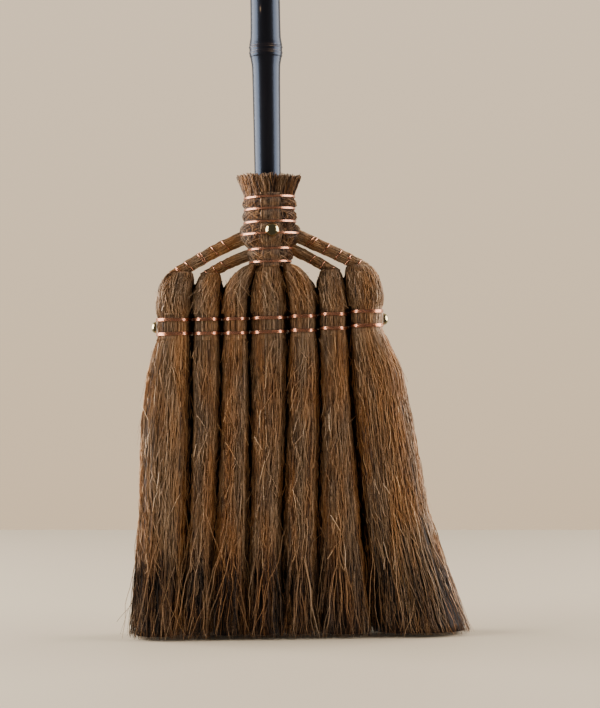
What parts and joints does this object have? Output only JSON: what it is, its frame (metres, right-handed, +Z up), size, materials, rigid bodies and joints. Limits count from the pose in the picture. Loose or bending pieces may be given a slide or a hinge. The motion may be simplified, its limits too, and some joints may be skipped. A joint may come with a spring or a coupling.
{
  "type": "palm fibre broom",
  "caption": "Long-handled floor broom: wire-bound palm fibre bundles side by side on a cross skewer, gathered into a neck round a dark bamboo handle.",
  "frame": {"origin": "on the floor under the handle's axis, in the flat trimmed end of the centre bristles", "axes": "+Z up the handle, +X along the row of bundles towards the longer flare, -Y the front with the single dome tack"},
  "size_m": [0.301, 0.0606, 1.3],
  "materials": {
    "black_bamboo": "glossy dark smoked bamboo",
    "raw_bamboo": "raw split bamboo",
    "fibre": "bound palm fibre",
    "bristle_fibre": "loose palm fibre bristles",
    "copper": "bright copper wire",
    "brass": "polished brass"
  },
  "bodies": {
    "handle_and_heads": {"handle": "black_bamboo", "neck_wrap": "fibre", "centre_tail": "fibre", "collar": "fibre", "neck_band_1": "copper", "neck_band_2": "copper", "neck_band_3": "copper", "neck_band_4": "copper", "neck_band_5": "copper", "neck_band_6": "copper", "front_tack": "brass", "left_tack": "brass", "right_tack": "brass", "skewer": "raw_bamboo", "head_1": "fibre", "head_2": "fibre", "head_3": "fibre", "head_4": "fibre", "head_5": "fibre", "head_6": "fibre", "head_7": "fibre", "outer_arm_left": "fibre", "inner_arm_left": "fibre", "inner_arm_right": "fibre", "outer_arm_right": "fibre", "outer_wire_left": "copper", "inner_wire_left": "copper", "inner_wire_right": "copper", "outer_wire_right": "copper", "shoulder_bands_1": "copper", "shoulder_bands_2": "copper", "shoulder_bands_3": "copper", "shoulder_bands_4": "copper", "shoulder_bands_5": "copper", "shoulder_bands_6": "copper", "shoulder_bands_7": "copper"},
    "bristles_1": {"skirt_1": "bristle_fibre"},
    "bristles_2": {"skirt_2": "bristle_fibre"},
    "bristles_3": {"skirt_3": "bristle_fibre"},
    "bristles_4": {"skirt_4": "bristle_fibre"},
    "bristles_5": {"skirt_5": "bristle_fibre"},
    "bristles_6": {"skirt_6": "bristle_fibre"},
    "bristles_7": {"skirt_7": "bristle_fibre"}
  },
  "joints": [
    {"name": "bristle_flex_1", "type": "hinge", "parent": "handle_and_heads", "child": "bristles_1", "pos_m": [0, 0, 0.2465], "axis": [1, 0, 0], "range_deg": [-15, 15], "stiffness_Nm_per_rad": 1.4},
    {"name": "bristle_flex_2", "type": "hinge", "parent": "handle_and_heads", "child": "bristles_2", "pos_m": [0, 0, 0.2465], "axis": [1, 0, 0], "range_deg": [-15, 15], "stiffness_Nm_per_rad": 1.4},
    {"name": "bristle_flex_3", "type": "hinge", "parent": "handle_and_heads", "child": "bristles_3", "pos_m": [0, 0, 0.2465], "axis": [1, 0, 0], "range_deg": [-15, 15], "stiffness_Nm_per_rad": 1.4},
    {"name": "bristle_flex_4", "type": "hinge", "parent": "handle_and_heads", "child": "bristles_4", "pos_m": [0, 0, 0.247], "axis": [1, 0, 0], "range_deg": [-15, 15], "stiffness_Nm_per_rad": 1.4},
    {"name": "bristle_flex_5", "type": "hinge", "parent": "handle_and_heads", "child": "bristles_5", "pos_m": [0, 0, 0.248], "axis": [1, 0, 0], "range_deg": [-15, 15], "stiffness_Nm_per_rad": 1.4},
    {"name": "bristle_flex_6", "type": "hinge", "parent": "handle_and_heads", "child": "bristles_6", "pos_m": [0, 0, 0.2495], "axis": [1, 0, 0], "range_deg": [-15, 15], "stiffness_Nm_per_rad": 1.4},
    {"name": "bristle_flex_7", "type": "hinge", "parent": "handle_and_heads", "child": "bristles_7", "pos_m": [0, 0, 0.2515], "axis": [1, 0, 0], "range_deg": [-15, 15], "stiffness_Nm_per_rad": 1.4}
  ]
}
